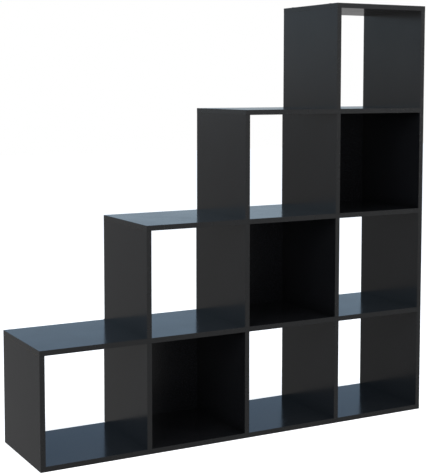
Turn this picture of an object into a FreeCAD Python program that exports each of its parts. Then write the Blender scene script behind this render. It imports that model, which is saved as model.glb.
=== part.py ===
import FreeCAD, Part
import math
import os

# A stepped bookcase of square cells, one cell high at the left and one more in each column to the right.
# Millimetres, +Z up, the front towards -Y. The origin is the middle of the footprint, on the floor.

V = FreeCAD.Vector
RIGHT = V(1, 0, 0)
LEFT = V(-1, 0, 0)
UP = V(0, 0, 1)
DOWN = V(0, 0, -1)
FORWARD = V(0, -1, 0)

# The whole bookcase
columns = 4
cell = 326.0
board = 16.0
depth = 324.0
back = 6.0
pitch = cell + board
width = columns * pitch + board
height = columns * pitch + board
total_depth = depth + back

# Edging strips, glued round the boards
edging = 0.8
edging_round_share = 0.6
back_round_share = 0.08

# Fits: play round a fitting, the free end of a blind hole, and what a blind hole leaves of a board
fit = 0.05
hole_end = 0.8
blind_skin = 4.5
blind = board - blind_skin

# How far a cutter runs past a face, and how close two places count as one
overrun = 1.0
near = 0.01

# Places of the fittings along the depth of every joint
fixing_inset = 50.0
dowel_step = 32.0
fixing_ys = (fixing_inset, depth - fixing_inset)
dowel_ys = (fixing_inset + dowel_step, depth - fixing_inset - dowel_step)

# Wooden dowels
dowel_r = 4.0
dowel_grip = 19.0
dowel_chamfer_share = 0.25

# Cam locks, let into the right faces of the uprights
cam_r = 7.5
cam_below_axis = 4.5
cam_setback = 24.0
cam_sink = 0.2
cam_play = 0.2
cross_length = 8.0
cross_width = 1.5
cross_depth = 2.2
cam_depth = board / 2 + cam_below_axis

# Connecting bolts
bolt_shank_r = 3.1
bolt_neck_r = 2.3
bolt_head_r = 3.5
bolt_head_height = 3.0
bolt_thread_r = 3.0
bolt_core_r = 2.3
bolt_thread_pitch = 2.5
bolt_bore_play = 0.4
cam_head_room = 1.5
cam_hollow_r = bolt_head_r + cam_head_room

# Frame screws, driven from outside through the bottom board, the top board and the right side
screw_head_r = 5.0
screw_head_rim = 0.6
screw_head_height = 4.0
screw_sink = 0.3
screw_shank_r = 3.5
screw_core_r = 2.5
screw_thread_pitch = 3.0
screw_grip = 34.0
screw_tip = 4.0
screw_tip_r = 1.2
socket_flats = 4.0
socket_depth = 3.0

# Caps over the frame screws that would show
cap_r = 6.5
cap_height = 1.2
cap_bevel = 0.6
peg_play = 0.15
peg_end = 0.5

# Back panels
back_lap = 8.0

# Screws of the back panels
back_screw_head_r = 3.0
back_screw_head_height = 1.8
back_screw_r = 1.5
back_screw_core_r = 1.0
back_screw_pitch = 1.35
back_screw_grip = 14.0
back_screw_inset = 40.0
back_screw_tip = 2.0
back_screw_tip_r = 0.3
back_cross_length = 3.4
back_cross_width = 0.7
back_cross_depth = 1.1

# Wall brackets on the top board, their wall holes and their screws
bracket_width = 40.0
bracket_reach = 36.0
bracket_drop = 17.0
bracket_sheet = 2.0
bracket_bend = 2.0
bracket_corner = 4.0
bracket_inset = 60.0
wall_hole_r = 2.75
wall_hole_drop = 9.0
plate_screw_spacing = 22.0
plate_screw_setback = 24.0
plate_hole_r = 2.3
pan_head_r = 4.0
pan_head_height = 2.2
pan_rim = 0.9
pan_flat_share = 0.55
plate_screw_r = 2.0
plate_screw_core_r = 1.4
plate_screw_pitch = 1.8
plate_screw_grip = 11.0
plate_screw_tip = 2.0
plate_screw_tip_r = 0.4
plate_cross_length = 4.0
plate_cross_width = 0.8
plate_cross_depth = 1.4

nodes = {}
holes = {}


def add(name, solid):
    """Puts a solid into the node of this name."""
    nodes.setdefault(name, []).append(solid)


def drill(names, cutter):
    """Keeps a hole to be cut from each of the named boards."""
    for name in names:
        holes.setdefault(name, []).append(cutter)


def block(x0, x1, y0, y1, z0, z1):
    """A box between two opposite corners."""
    return Part.makeBox(x1 - x0, y1 - y0, z1 - z0, V(x0, y0, z0))


def turned(points, at, along):
    """A turned solid: (radius, distance) points, the distance measured from a place along a direction."""
    corners = [V(radius, 0, distance) for radius, distance in points]
    face = Part.Face(Part.makePolygon(corners + corners[:1]))
    solid = face.revolve(V(0, 0, 0), V(0, 0, 1), 360)
    solid.Placement = FreeCAD.Placement(at, FreeCAD.Rotation(V(0, 0, 1), along))
    return solid


def thread(core, crest, start, end, thread_pitch):
    """Ridges of a thread between two distances, as points for a turned solid."""
    turns = max(1, int((end - start) / thread_pitch))
    step = (end - start) / turns
    points = []
    for turn in range(turns):
        points.append((core, start + turn * step))
        points.append((crest, start + (turn + 1 / 2) * step))
    points.append((core, end))
    return points


def cross(at, along, length, slot, sunk):
    """A cutter for a cross recess, from just outside a face into it."""
    arms = []
    for half_x, half_y in ((length / 2, slot / 2), (slot / 2, length / 2)):
        arms.append(block(-half_x, half_x, -half_y, half_y, -overrun, sunk))
    recess = arms[0].fuse(arms[1])
    recess.Placement = FreeCAD.Placement(at, FreeCAD.Rotation(V(0, 0, 1), along))
    return recess


def hexagon(at, along, flats, start, end):
    """A six-sided prism between two distances along a direction."""
    corner_r = flats / 2 / math.cos(math.pi / 6)
    turns = [math.pi / 3 * side for side in range(7)]
    ring = [V(corner_r * math.cos(turn), corner_r * math.sin(turn), start) for turn in turns]
    prism = Part.Face(Part.makePolygon(ring)).extrude(V(0, 0, end - start))
    prism.Placement = FreeCAD.Placement(at, FreeCAD.Rotation(V(0, 0, 1), along))
    return prism


# Places in the grid of lines and levels

def line_x(line):
    """The left face of an upright line, counted from the left side."""
    return line * pitch


def level_z(level):
    """The underside of a board, counted from the bottom board."""
    return level * pitch


def board_name(level):
    """The name of the board at a level."""
    if level == 0:
        return "bottom_board"
    if level == columns:
        return "top_board"
    return f"shelf_{level}"


def upright_name(line, row):
    """The name of the upright on a line, at a row of cells."""
    if line == columns:
        return "right_side"
    if line == 0:
        return "left_side"
    return f"divider_{line}_row_{row + 1}"


def board_left(level):
    """Where a board starts: at the left face of its step."""
    return line_x(max(0, level - 1))


def board_right(level):
    """Where a board ends: over the right side at the bottom and top, against it in between."""
    if level in (0, columns):
        return width
    return width - board


# Edging strips

def rounded(strip, direction, outer):
    """Rounds the long edges of a strip that lie on its outer face."""
    radius = edging * edging_round_share
    box = strip.BoundBox
    run = {"x": box.XLength, "y": box.YLength, "z": box.ZLength}[direction]
    long_edges = [e for e in strip.Edges if abs(e.Length - run) < near]
    chosen = [e for e in long_edges if outer(e.CenterOfMass)]
    return strip.makeFillet(radius, chosen)


def front_and_rear_strips(name, rear_node, x0, x1, z0, z1, direction):
    """The strips on the front and rear edge of a board."""
    front = block(x0, x1, 0, edging, z0, z1)
    rear = block(x0, x1, depth - edging, depth, z0, z1)
    add(f"{name}_edging", rounded(front, direction, lambda p: p.y < edging / 2))
    add(rear_node, rounded(rear, direction, lambda p: p.y > depth - edging / 2))


def end_strip(x0, z0, faces_left):
    """The strip on the bare end of a board."""
    strip = block(x0, x0 + edging, edging, depth - edging, z0, z0 + board)
    middle = x0 + edging / 2
    if faces_left:
        return rounded(strip, "y", lambda p: p.x < middle)
    return rounded(strip, "y", lambda p: p.x > middle)


# Boards, before they are drilled

def lay_board(level):
    """A level board with its edging strips."""
    name = board_name(level)
    left = board_left(level)
    right = board_right(level)
    bottom = level_z(level)
    top = bottom + board
    core_right = right
    if right == width:
        core_right = right - edging
        add("end_edging", end_strip(core_right, bottom, False))
    add("end_edging", end_strip(left, bottom, True))
    add(name, block(left + edging, core_right, edging, depth - edging, bottom, top))
    front_and_rear_strips(name, "board_rear_edging", left, right, bottom, top, "x")


def stand_upright(line, row, bottom, top):
    """An upright with its front and rear edging strips."""
    name = upright_name(line, row)
    left = line_x(line)
    right = left + board
    add(name, block(left, right, edging, depth - edging, bottom, top))
    front_and_rear_strips(name, "upright_rear_edging", left, right, bottom, top, "z")


# Dowels

def dowel(at, along, start, end):
    """A dowel with bevelled ends, between two distances along a direction."""
    bevel = dowel_r * dowel_chamfer_share
    points = [(0, start), (dowel_r - bevel, start), (dowel_r, start + bevel)]
    points += [(dowel_r, end - bevel), (dowel_r - bevel, end), (0, end)]
    return turned(points, at, along)


def bore(radius, at, along, start, end):
    """A round cutter between two distances along a direction."""
    return turned([(0, start), (radius, start), (radius, end), (0, end)], at, along)


def short_dowels(x, z, into_end, end_name, face_name):
    """Dowels between the end of one board and the face of another, where the joint crosses x and z."""
    for y in dowel_ys:
        at = V(x, y, z)
        add("short_dowels", dowel(at, into_end, hole_end - blind, dowel_grip))
        drill([end_name, face_name], bore(dowel_r + fit, at, into_end, -blind, dowel_grip + hole_end))


def long_dowels(x, z, names):
    """Dowels through a shelf into the uprights below and above it."""
    reach = board / 2 + dowel_grip
    for y in dowel_ys:
        at = V(x, y, z)
        add("long_dowels", dowel(at, UP, -reach, reach))
        drill(names, bore(dowel_r + fit, at, UP, -reach - hole_end, reach + hole_end))


# Cam locks and connecting bolts

def cam_lock(line, y, end_z, into_end, upright):
    """A cam lock in an upright's right face, a setback away from its end."""
    middle = line_x(line) + board / 2
    face = line_x(line) + board
    z = end_z + into_end.z * cam_setback
    bottom = face - cam_depth
    hollow_half = bolt_head_r + cam_play
    body = bore(cam_r, V(bottom, y, z), RIGHT, 0, cam_depth - cam_sink)
    hollow = bore(cam_hollow_r, V(bottom, y, z), RIGHT, -overrun, middle + hollow_half - bottom)
    neck_half = bolt_neck_r + cam_play
    slot_ends = sorted((z, z - into_end.z * (cam_r + overrun)))
    slot = block(bottom - overrun, middle + neck_half, y - neck_half, y + neck_half, *slot_ends)
    recess = cross(V(face - cam_sink, y, z), LEFT, cross_length, cross_width, cross_depth)
    add("cam_locks", body.cut(hollow).cut(slot).cut(recess))
    drill([upright], bore(cam_r + fit, V(face, y, z), LEFT, -overrun, cam_depth + fit))


def bolt_reach(start):
    """The end of a bolt that its cam holds: shank, neck and head, from a distance before the board's end."""
    neck = start + cam_setback - cam_r - cam_play
    head = start + cam_setback - math.sqrt(cam_hollow_r ** 2 - bolt_head_r ** 2) + cam_play
    tip = head + bolt_head_height
    points = [(bolt_shank_r, neck), (bolt_neck_r, neck), (bolt_neck_r, head)]
    return points + [(bolt_head_r, head), (bolt_head_r, tip), (0, tip)]


def bolt_bore(x, y, end_z, into_end, upright):
    """The bore in an upright's end that a bolt passes to reach its cam."""
    radius = bolt_head_r + bolt_bore_play
    drill([upright], bore(radius, V(x, y, end_z), into_end, -overrun, cam_setback))


def step_joint(line, row):
    """The joint at a step: an upright's upper end under the left end of a shelf."""
    upright = upright_name(line, row)
    shelf = board_name(row + 1)
    x = line_x(line) + board / 2
    z = level_z(row + 1)
    for y in fixing_ys:
        ridges = thread(bolt_core_r, bolt_thread_r, hole_end - blind, 0, bolt_thread_pitch)
        points = [(0, hole_end - blind)] + ridges + [(bolt_shank_r, 0)] + bolt_reach(0)
        add("step_bolts", turned(points, V(x, y, z), DOWN))
        drill([shelf], bore(bolt_thread_r + fit, V(x, y, z), DOWN, -blind, overrun))
        bolt_bore(x, y, z, DOWN, upright)
        cam_lock(line, y, z, DOWN, upright)
    short_dowels(x, z, DOWN, upright, shelf)


def crossing_joint(line, row):
    """The joint where a divider stands on a divider, with a shelf passing between them."""
    lower = upright_name(line, row)
    upper = upright_name(line, row + 1)
    shelf = board_name(row + 1)
    x = line_x(line) + board / 2
    bottom = level_z(row + 1)
    top = bottom + board
    for y in fixing_ys:
        half = bolt_reach(board / 2)
        points = [(radius, -distance) for radius, distance in reversed(half)] + half
        add("through_bolts", turned(points, V(x, y, bottom + board / 2), UP))
        passage = bolt_head_r + bolt_bore_play
        drill([shelf], bore(passage, V(x, y, bottom), UP, -overrun, board + overrun))
        bolt_bore(x, y, bottom, DOWN, lower)
        bolt_bore(x, y, top, UP, upper)
        cam_lock(line, y, bottom, DOWN, lower)
        cam_lock(line, y, top, UP, upper)
    long_dowels(x, bottom + board / 2, [lower, shelf, upper])


# Frame screws and their caps

def frame_screw(node, at, inward, names, capped):
    """A frame screw with a socket head, driven from an outer face."""
    end = board + screw_grip
    ridges = thread(screw_core_r, screw_shank_r, board, end - screw_tip, screw_thread_pitch)
    under_head = screw_sink + screw_head_height
    points = [(0, screw_sink), (screw_head_r, screw_sink), (screw_head_r, screw_sink + screw_head_rim)]
    points += [(screw_shank_r, under_head), (screw_shank_r, board)] + ridges + [(screw_tip_r, end), (0, end)]
    socket = hexagon(at, inward, socket_flats, screw_sink - overrun, screw_sink + socket_depth)
    add(node, turned(points, at, inward).cut(socket))
    mouth = screw_head_r + fit
    shaft = screw_shank_r + fit
    hole = [(0, -overrun), (mouth, -overrun), (mouth, screw_sink + screw_head_rim), (shaft, under_head)]
    drill(names, turned(hole + [(shaft, end + hole_end), (0, end + hole_end)], at, inward))
    if capped:
        add("screw_caps", screw_cap(at, inward))


def screw_cap(at, inward):
    """A plastic cap over a frame screw, with a peg in its socket."""
    points = [(0, 0), (cap_r, 0), (cap_r, cap_bevel - cap_height), (cap_r - cap_bevel, -cap_height)]
    disc = turned(points + [(0, -cap_height)], at, inward)
    peg = hexagon(at, inward, socket_flats - 2 * peg_play, 0, screw_sink + socket_depth - peg_end)
    return disc.fuse(peg).removeSplitter()


def foot_joint(line):
    """The lower end of an upright on the bottom board, screwed from below."""
    x = line_x(line) + board / 2
    names = ["bottom_board", upright_name(line, 0)]
    for y in fixing_ys:
        frame_screw("base_screws", V(x, y, 0), UP, names, False)
    short_dowels(x, board, UP, names[1], names[0])


def head_joint(line):
    """The upper end of an upright under the top board, screwed from above."""
    x = line_x(line) + board / 2
    names = ["top_board", upright_name(line, columns - 1)]
    for y in fixing_ys:
        frame_screw("top_screws", V(x, y, height), DOWN, names, True)
    short_dowels(x, height - board, DOWN, names[1], names[0])


def side_joint(level):
    """The right end of a shelf against the right side, screwed from the right."""
    z = level_z(level) + board / 2
    names = ["right_side", board_name(level)]
    for y in fixing_ys:
        frame_screw("side_screws", V(width, y, z), LEFT, names, True)
    short_dowels(width - board, z, LEFT, names[1], names[0])


# Back panels, laid on the rear edges

def back_screw(panel, x, z, holder):
    """A countersunk screw through a back panel into the board behind which it lies."""
    at = V(x, total_depth, z)
    end = back + back_screw_grip
    core = end - back_screw_tip
    ridges = thread(back_screw_core_r, back_screw_r, back, core, back_screw_pitch)
    points = [(0, 0), (back_screw_head_r, 0), (back_screw_r, back_screw_head_height), (back_screw_r, back)]
    points += ridges + [(back_screw_tip_r, end), (0, end)]
    recess = cross(at, FORWARD, back_cross_length, back_cross_width, back_cross_depth)
    add(f"{panel}_screws", turned(points, at, FORWARD).cut(recess))
    mouth = back_screw_head_r + fit
    shaft = back_screw_r + fit
    hole = [(0, -overrun), (mouth, -overrun), (mouth, 0), (shaft, back_screw_head_height + fit)]
    hole += [(shaft, end + hole_end), (0, end + hole_end)]
    strips = "board_rear_edging" if holder.startswith("shelf") else "upright_rear_edging"
    drill([panel, holder, strips], turned(hole, at, FORWARD))


def back_panel(step):
    """The panel behind the cell under a step, its left and top edges flush with the boards it covers.

    It laps over the board below. A notch leaves room there for the corner of the panel under it.
    """
    name = f"back_panel_{step}"
    left = line_x(step)
    right = left + cell + 2 * board
    bottom = level_z(step - 1) + board
    top = level_z(step) + board
    panel = block(left, right, depth, total_depth, bottom - back_lap, top)
    rear_edges = [e for e in panel.Edges if e.CenterOfMass.y > total_depth - near]
    panel = panel.makeFillet(back * back_round_share, rear_edges)
    corner_x = [left - overrun, left + board]
    corner_z = [bottom - back_lap - overrun, bottom]
    notch = block(*corner_x, depth - overrun, total_depth + overrun, *corner_z)
    add(name, panel.cut(notch))
    row = step - 1
    for x in (left + back_screw_inset, (left + right) / 2, right - back_screw_inset):
        back_screw(name, x, top - board / 2, board_name(step))
    low = bottom + back_screw_inset
    high = top - board - back_screw_inset
    for z in (low, (low + high) / 2, high):
        back_screw(name, left + board / 2, z, upright_name(step, row))
        back_screw(name, right - board / 2, z, upright_name(step + 1, row))


# Wall brackets on the top board

def plate_screw(at):
    """A pan-head screw that holds a wall bracket down."""
    end = bracket_sheet + plate_screw_grip
    core = end - plate_screw_tip
    ridges = thread(plate_screw_core_r, plate_screw_r, bracket_sheet, core, plate_screw_pitch)
    flat_r = pan_head_r * pan_flat_share
    points = [(0, -pan_head_height), (flat_r, -pan_head_height), (pan_head_r, -pan_rim)]
    points += [(pan_head_r, 0), (plate_screw_r, 0)] + ridges + [(plate_screw_tip_r, end), (0, end)]
    top = at + V(0, 0, pan_head_height)
    recess = cross(top, DOWN, plate_cross_length, plate_cross_width, plate_cross_depth)
    add("bracket_screws", turned(points, at, DOWN).cut(recess))
    drill(["top_board"], bore(plate_screw_r + fit, at, DOWN, -overrun, end + hole_end))


def wall_bracket(name, x):
    """An angle of steel sheet: it lies on the top board and turns down at the wall."""
    top = height + bracket_sheet
    left = x - bracket_width / 2
    right = x + bracket_width / 2
    front = total_depth - bracket_reach
    plate = block(left, right, front, total_depth, height, top)
    leg = block(left, right, total_depth - bracket_sheet, total_depth, top - bracket_drop, top)
    angle = plate.fuse(leg).removeSplitter()
    rear_edges = [e for e in angle.Edges if e.CenterOfMass.y > total_depth - near]
    angle = angle.makeFillet(bracket_bend, [e for e in rear_edges if e.CenterOfMass.z > top - near])
    front_edges = [e for e in angle.Edges if e.CenterOfMass.y < front + near]
    corners = [e for e in front_edges if abs(e.Length - bracket_sheet) < near]
    angle = angle.makeFillet(bracket_corner, corners)
    wall_hole = V(x, total_depth, top - wall_hole_drop)
    angle = angle.cut(bore(wall_hole_r, wall_hole, FORWARD, -overrun, bracket_sheet + overrun))
    for side in (-1, 1):
        at = V(x + side * plate_screw_spacing / 2, total_depth - plate_screw_setback, top)
        angle = angle.cut(bore(plate_hole_r, at, DOWN, -overrun, bracket_sheet + overrun))
        plate_screw(at)
    add(name, angle)


# Put the bookcase together

for level in range(columns + 1):
    lay_board(level)
for line in range(columns):
    for row in range(line + 1):
        stand_upright(line, row, level_z(row) + board, level_z(row + 1))
stand_upright(columns, 0, board, height - board)

for line in range(columns + 1):
    foot_joint(line)
for line in range(columns - 1):
    step_joint(line, line)
for line in range(1, columns):
    for row in range(line):
        crossing_joint(line, row)
for line in (columns - 1, columns):
    head_joint(line)
for level in range(1, columns):
    side_joint(level)
for step in range(1, columns):
    back_panel(step)
wall_bracket("wall_bracket_left", board_left(columns) + bracket_inset)
wall_bracket("wall_bracket_right", width - bracket_inset)

# Cut the holes, move the origin to the middle of the footprint, and write the pieces

os.makedirs("parts", exist_ok=True)
to_middle = V(-width / 2, -total_depth / 2, 0)
for name, solids in nodes.items():
    cutters = holes.get(name, [])
    finished = [solid.cut(cutters) if cutters else solid for solid in solids]
    shape = finished[0] if len(finished) == 1 else Part.makeCompound(finished)
    shape.translate(to_middle)
    shape.exportStep(f"parts/{name}.step")
    state = "valid" if shape.isValid() else "not valid"
    print(name, len(shape.Solids), "solid(s)", round(shape.Volume), "mm3", state)
print(len(nodes), "nodes; boards", width, "wide,", height, "high,", total_depth, "deep")
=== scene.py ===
# %% [markdown]
# # A stepped cube bookcase in black melamine
# This lesson dresses a flat-pack bookcase whose columns of cells climb like a stair. The construction is
# already there: every board, strip, dowel and screw arrives as a mesh with its real size and place. What
# is left to make is what the eye sees: a semi-gloss black finish, plastic edging, metal fittings and the
# light.

# %% Load the construction
import math

import bmesh
import bpy
from mathutils import Matrix, Vector


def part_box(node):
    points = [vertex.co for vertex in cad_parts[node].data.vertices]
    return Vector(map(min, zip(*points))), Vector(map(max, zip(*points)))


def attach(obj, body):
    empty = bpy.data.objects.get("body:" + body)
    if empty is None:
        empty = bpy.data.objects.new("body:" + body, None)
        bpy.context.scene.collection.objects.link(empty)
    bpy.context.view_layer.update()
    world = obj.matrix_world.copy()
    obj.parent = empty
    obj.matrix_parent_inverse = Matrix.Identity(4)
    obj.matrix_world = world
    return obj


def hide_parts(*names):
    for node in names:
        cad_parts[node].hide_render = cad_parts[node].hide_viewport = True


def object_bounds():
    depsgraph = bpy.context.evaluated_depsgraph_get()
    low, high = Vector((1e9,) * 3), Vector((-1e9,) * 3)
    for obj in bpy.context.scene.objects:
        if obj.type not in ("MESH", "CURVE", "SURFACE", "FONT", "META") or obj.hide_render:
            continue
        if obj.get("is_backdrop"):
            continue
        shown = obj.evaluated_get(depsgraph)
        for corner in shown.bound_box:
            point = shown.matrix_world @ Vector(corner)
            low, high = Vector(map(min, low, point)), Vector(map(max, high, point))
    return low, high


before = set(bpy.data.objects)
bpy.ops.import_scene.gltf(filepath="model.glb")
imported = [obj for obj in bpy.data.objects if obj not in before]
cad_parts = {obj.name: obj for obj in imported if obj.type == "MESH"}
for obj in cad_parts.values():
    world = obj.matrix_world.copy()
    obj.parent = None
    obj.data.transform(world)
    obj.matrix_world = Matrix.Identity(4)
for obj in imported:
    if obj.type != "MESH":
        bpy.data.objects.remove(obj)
cad_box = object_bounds()
print("pieces of the construction:", len(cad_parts))
print("overall size in metres:", [round(c, 4) for c in cad_box[1] - cad_box[0]])

# %% [markdown]
# ## Sizes that the scene needs
# A typed size goes stale when the construction changes, so the few that the scene needs are read from the
# pieces. The lights aim at half the height, and the step up tells which end of an upright a cam is near.

# %% Read the main sizes
MM = 0.001
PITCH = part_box("shelf_1")[1].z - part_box("bottom_board")[1].z
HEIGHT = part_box("top_board")[1].z
for label, size in (("one step up", PITCH), ("top of the boards", HEIGHT)):
    print(label + ":", round(size / MM, 1), "mm")

# %% [markdown]
# ## The camera
# The photograph was taken from the left with a long lens, at four fifths of the unit's height. The place,
# turn and lens of the camera were worked out from where the straight board edges fall in the picture. A
# photographer keeps uprights nearly parallel by shifting the lens rather than tilting the camera, so the
# shift stays.

# %% Set up the camera
PHOTO_WIDTH = 428
PHOTO_HEIGHT = 476
SENSOR = 36.0
LENS_PIXELS = 1133.5
AXIS_U = 204.1
AXIS_V = 175.4
STAND = Vector((-1.7943, -3.2053, 1.1192))
TURN = math.radians(28.33)
TILT = math.radians(-4.56)
FARTHEST = 100.0


def make_camera():
    """Places the camera where the photograph was taken from."""
    ahead = Vector((math.sin(TURN) * math.cos(TILT), math.cos(TURN) * math.cos(TILT), math.sin(TILT)))
    right = Vector((math.cos(TURN), -math.sin(TURN), 0))
    up = right.cross(ahead)
    data = bpy.data.cameras.new("camera")
    data.sensor_width = SENSOR
    data.lens = LENS_PIXELS * SENSOR / PHOTO_HEIGHT
    data.shift_x = (PHOTO_WIDTH / 2 - AXIS_U) / PHOTO_HEIGHT
    data.shift_y = (AXIS_V - PHOTO_HEIGHT / 2) / PHOTO_HEIGHT
    data.clip_end = FARTHEST
    camera = bpy.data.objects.new("camera", data)
    axes = Matrix((right, up, -ahead)).transposed()
    camera.matrix_world = Matrix.Translation(STAND) @ axes.to_4x4()
    bpy.context.scene.collection.objects.link(camera)
    bpy.context.scene.camera = camera
    return camera


camera = make_camera()
shifts = [round(shift, 3) for shift in (camera.data.shift_x, camera.data.shift_y)]
print("lens:", round(camera.data.lens, 1), "mm, shifts:", shifts)

# %% [markdown]
# ## A short way to write node trees
# Materials, the sky and the fittings are all node trees. They could be drawn by hand in the node editor,
# but written as code they read like the sums that they are. One helper adds a node, links what is a
# socket and sets what is a value. Another opens a reusable group. The rest are short names for the sums
# and blends that come up again and again.

# %% Helpers for node trees


def node(tree, kind, inputs=None, **settings):
    """Adds a node. An input given as a socket is linked, and any other value is set."""
    made = tree.nodes.new(kind)
    for name, value in settings.items():
        setattr(made, name, value)
    for key, value in (inputs or {}).items():
        if isinstance(value, bpy.types.NodeSocket):
            tree.links.new(value, made.inputs[key])
        else:
            made.inputs[key].default_value = value
    return made


def open_group(name, kind, inputs, outputs):
    """Starts a node group with named sockets and returns the tree, its inputs and its output node."""
    tree = bpy.data.node_groups.new(name, kind)
    for label, socket_type, value in inputs:
        socket = tree.interface.new_socket(label, in_out="INPUT", socket_type=socket_type)
        if value is not None:
            socket.default_value = value
    for label, socket_type in outputs:
        tree.interface.new_socket(label, in_out="OUTPUT", socket_type=socket_type)
    return tree, tree.nodes.new("NodeGroupInput").outputs, tree.nodes.new("NodeGroupOutput")


def maths(tree, operation, *values):
    """A maths node on one, two or three values, and its result."""
    return node(tree, "ShaderNodeMath", dict(enumerate(values)), operation=operation).outputs[0]


def times(tree, first, second):
    return maths(tree, "MULTIPLY", first, second)


def plus(tree, first, second):
    return maths(tree, "ADD", first, second)


def minus(tree, first, second):
    return maths(tree, "SUBTRACT", first, second)


def mixed(tree, share, first, second):
    """A colour between two others."""
    return node(tree, "ShaderNodeMix", {0: share, 6: first, 7: second}, data_type="RGBA").outputs[2]


def ranged(tree, value, low, high, to_low=0.0, to_high=1.0):
    """A value moved from one range to another, and held inside it."""
    return node(tree, "ShaderNodeMapRange", {0: value, 1: low, 2: high, 3: to_low, 4: to_high}).outputs[0]


def parts(tree, vector):
    """The three numbers of a vector or a colour."""
    return node(tree, "ShaderNodeSeparateXYZ", {0: vector}).outputs


print("helpers ready")

# %% [markdown]
# ## The studio
# Glossy black shows almost nothing of its own: what you see are the reflections and a little light on the
# edges. The level surfaces mirror a pale blue sky behind the unit, and the upright ones a softer grey, so
# the surroundings are graded by height and by side. High up on the left they are duller, as with a dark
# curtain: that part is seen only where an upright mirrors a board, or a board an upright. To the camera
# itself they are plain white. A picture of a studio could do all this too, but two colour ramps have only
# a few stops each, and every stop can be tuned to the face that mirrors it.

# %% The sky around the bookcase
SKY_STOPS = (
    (0.000, (0.22, 0.22, 0.22)),
    (0.330, (0.25, 0.25, 0.25)),
    (0.420, (0.265, 0.265, 0.265)),
    (0.474, (0.295, 0.295, 0.295)),
    (0.495, (0.36, 0.365, 0.37)),
    (0.509, (0.50, 0.53, 0.55)),
    (0.535, (0.48, 0.57, 0.64)),
    (0.552, (0.43, 0.548, 0.652)),
    (0.604, (0.355, 0.495, 0.65)),
    (0.646, (0.225, 0.325, 0.465)),
    (1.000, (0.20, 0.28, 0.40)),
)
CURTAIN_TINT = (0.84, 0.80, 0.74, 1)
CURTAIN_UPWARD = (0.545, 0.64)
CURTAIN_LEFTWARD = (-0.05, -0.35)
FRONT_TO_BACK = (-0.35, 0.25)
FRONT_STOPS = (
    (0.00, (0.14, 0.14, 0.14)),
    (0.38, (0.28, 0.28, 0.28)),
    (0.48, (0.34, 0.34, 0.34)),
    (0.53, (0.68, 0.69, 0.70)),
    (0.70, (0.36, 0.38, 0.40)),
    (1.00, (0.24, 0.30, 0.40)),
)


def ramp(tree, value, stops):
    """A colour ramp through the given stops."""
    made = node(tree, "ShaderNodeValToRGB", {0: value})
    elements = made.color_ramp.elements
    elements[0].position, elements[0].color = stops[0][0], (*stops[0][1], 1)
    elements[1].position, elements[1].color = stops[-1][0], (*stops[-1][1], 1)
    for place, colour in stops[1:-1]:
        elements.new(place).color = (*colour, 1)
    return made.outputs[0]


def make_world():
    """Surroundings graded by height, by side and by front or back. The camera itself sees white."""
    world = bpy.data.worlds.new("studio")
    world.use_nodes = True
    tree = world.node_tree
    tree.nodes.clear()
    x, y, z = parts(tree, node(tree, "ShaderNodeTexCoord").outputs["Generated"])
    up = maths(tree, "MULTIPLY_ADD", z, 0.5, 0.5)
    behind = ramp(tree, up, SKY_STOPS)
    left = times(tree, ranged(tree, up, *CURTAIN_UPWARD), ranged(tree, x, *CURTAIN_LEFTWARD))
    layers = {0: left, 6: behind, 7: CURTAIN_TINT}
    curtain = node(tree, "ShaderNodeMix", layers, data_type="RGBA", blend_type="MULTIPLY").outputs[2]
    colour = mixed(tree, ranged(tree, y, *FRONT_TO_BACK), ramp(tree, up, FRONT_STOPS), curtain)
    graded = node(tree, "ShaderNodeBackground", {0: colour}).outputs[0]
    white = node(tree, "ShaderNodeBackground", {0: (1, 1, 1, 1)}).outputs[0]
    to_camera = node(tree, "ShaderNodeLightPath").outputs["Is Camera Ray"]
    shown = node(tree, "ShaderNodeMixShader", {0: to_camera, 1: graded, 2: white}).outputs[0]
    node(tree, "ShaderNodeOutputWorld", {0: shown})
    bpy.context.scene.world = world


make_world()
bpy.context.scene.view_settings.view_transform = "Standard"
print("sky bands behind:", len(SKY_STOPS), "and in front:", len(FRONT_STOPS))

# %% [markdown]
# ## Floor and lights
# A key light from the upper left and a large one overhead shape the unit. A weak bluish one beside the
# camera keeps the backed cells from going fully black, and a low one on the far side grazes the strips
# and the panels' left ends. All are soft boxes, because a small lamp would draw hard shadows that the
# photograph doesn't have. None of them is mirrored in the gloss, and neither is the floor: only the
# graded surroundings are.

# %% The floor and the soft lights
FLOOR_HALF = 14.0
FLOOR_GLOW = 0.80
FLOOR_FINISH = {
    "Base Color": (0.86, 0.86, 0.86, 1),
    "Roughness": 0.9,
    "Specular IOR Level": 0.0,
    "Emission Color": (1, 1, 1, 1),
}
FLOOR_CORNERS = ((-1, -1), (1, -1), (1, 1), (-1, 1))
WHITE = (1.0, 1.0, 1.0)
COOL = (0.8, 0.9, 1.0)
LIGHTS = (
    ("key", (-3.6, -2.4, 2.6), 2.2, 90, WHITE),
    ("overhead", (0.5, -0.5, 4.2), 3.0, 60, WHITE),
    ("fill", (-1.6, -3.4, 1.3), 1.6, 14, COOL),
    ("far_side", (3.3, -3.0, 0.8), 0.8, 62, WHITE),
)


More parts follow.
